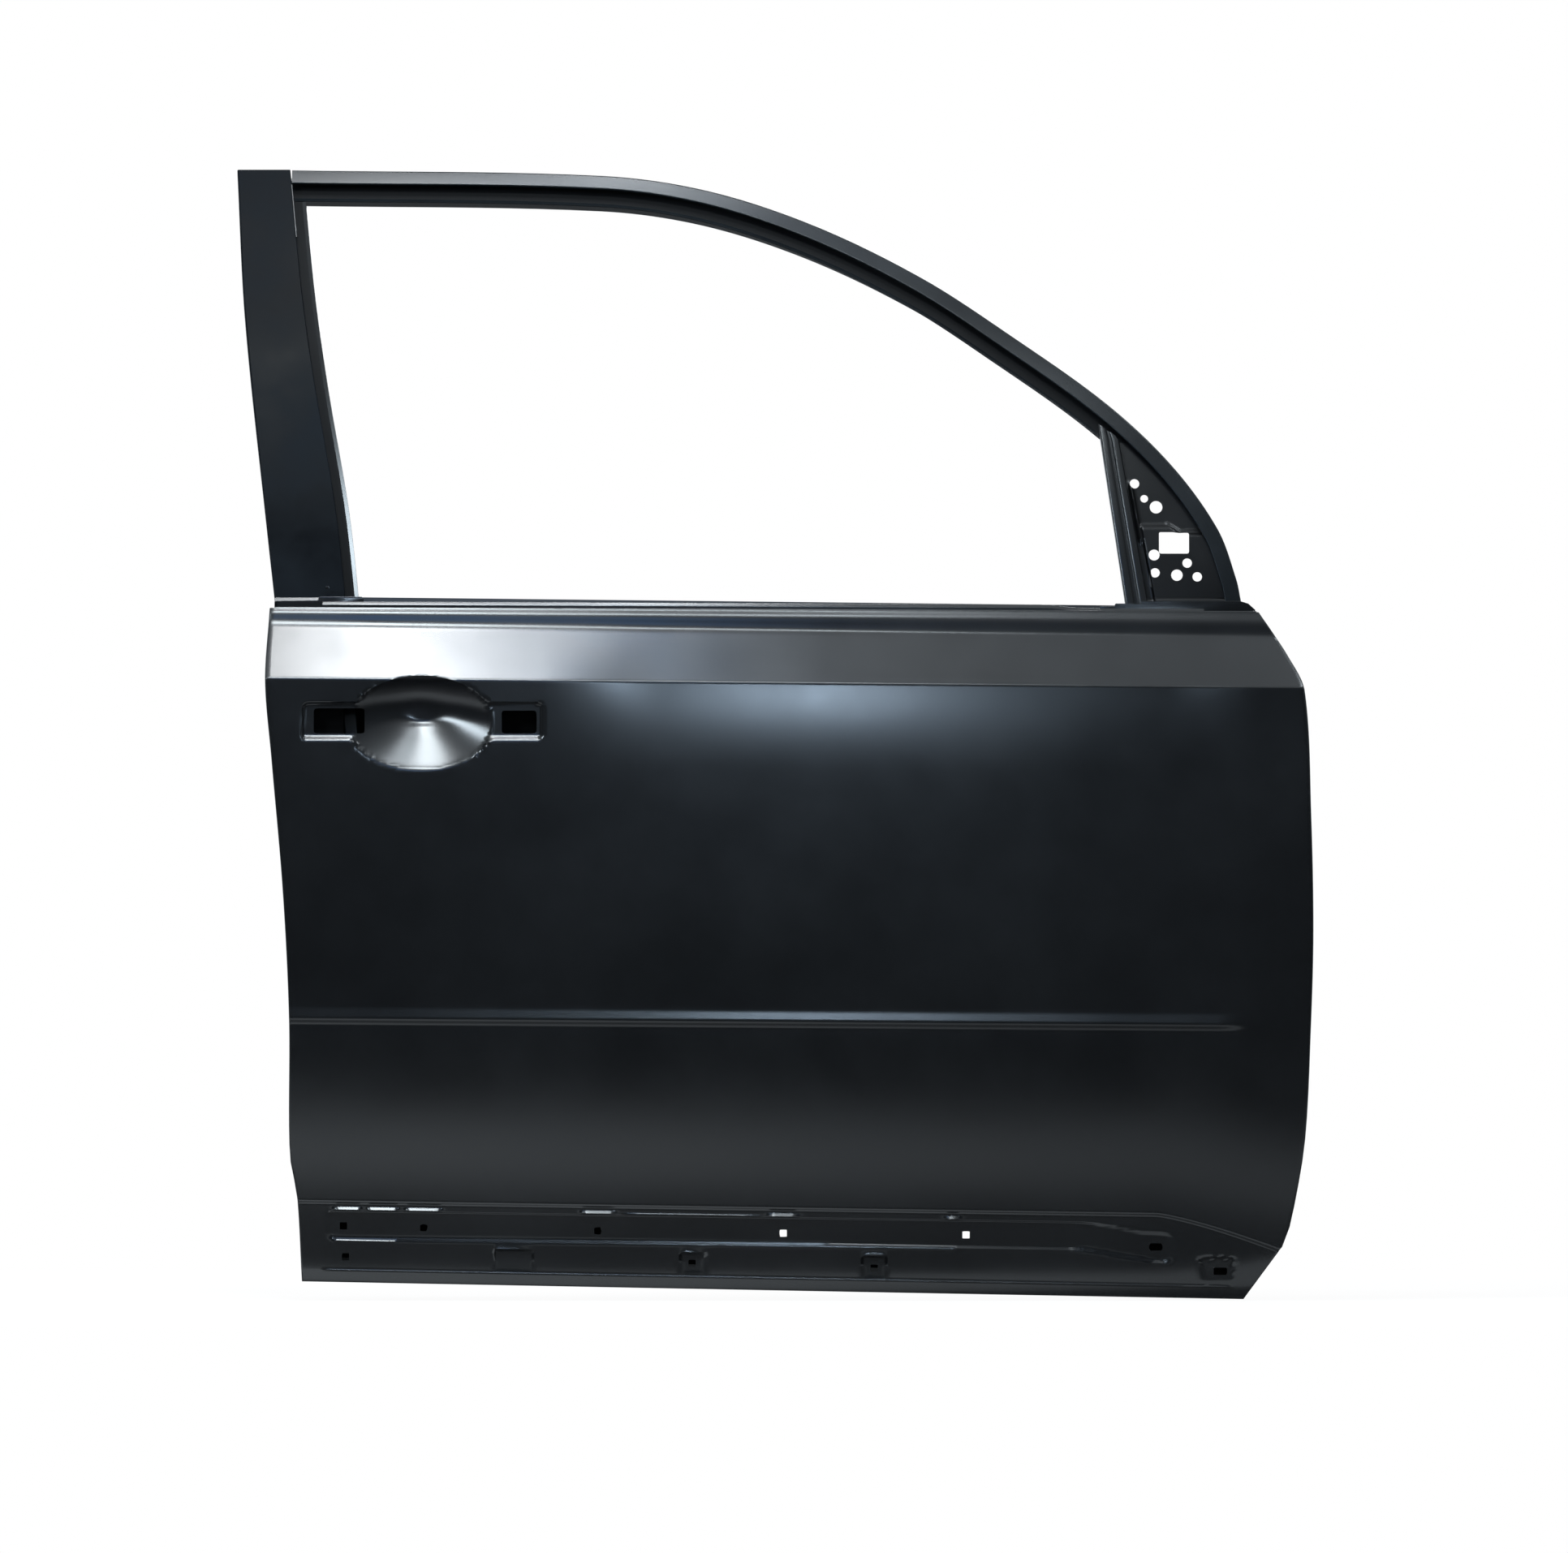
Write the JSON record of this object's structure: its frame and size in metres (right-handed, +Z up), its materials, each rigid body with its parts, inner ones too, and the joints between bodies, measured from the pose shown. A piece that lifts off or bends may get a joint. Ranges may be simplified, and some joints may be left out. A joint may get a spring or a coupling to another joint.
{
  "type": "car door shell",
  "caption": "Right-hand front door shell of a compact sport-utility car: pressed skin and inner panel, window frame, division bar and mirror corner, in black primer",
  "frame": {"origin": "centre of the upper hinge seat, on the hinge face of the inner panel", "axes": "+X to the front of the vehicle, +Y into the cabin (the outer skin faces -Y), +Z up"},
  "size_m": [1.1282, 0.2895, 1.1853],
  "materials": {
    "black_primer": "black electro-coat primer, semi-gloss",
    "plain_steel": "coated steel, satin",
    "mastic": "matt black expanding mastic"
  },
  "bodies": {
    "root": {"outer_panel": "black_primer", "inner_panel": "black_primer", "frame_header_outer": "black_primer", "frame_header_inner": "black_primer", "frame_b_post_outer": "black_primer", "glass_channel_rear": "black_primer", "frame_b_post_inner": "black_primer", "division_bar": "black_primer", "mirror_sail_plate": "black_primer", "mirror_reinforcement": "black_primer", "belt_reinforcement_outer": "black_primer", "belt_reinforcement_inner": "black_primer", "impact_beam": "black_primer", "impact_beam_bracket_front": "black_primer", "impact_beam_bracket_rear": "black_primer", "mastic_pad_1": "mastic", "mastic_pad_2": "mastic", "mastic_pad_3": "mastic", "mastic_pad_4": "mastic", "hinge_reinforcement_upper": "black_primer", "hinge_reinforcement_lower": "black_primer", "hinge_tapping_plate_upper": "plain_steel", "hinge_tapping_plate_lower": "plain_steel", "check_link_reinforcement": "black_primer", "latch_reinforcement": "black_primer", "handle_bracket_rear": "black_primer", "handle_bracket_front": "black_primer"}
  },
  "joints": []
}
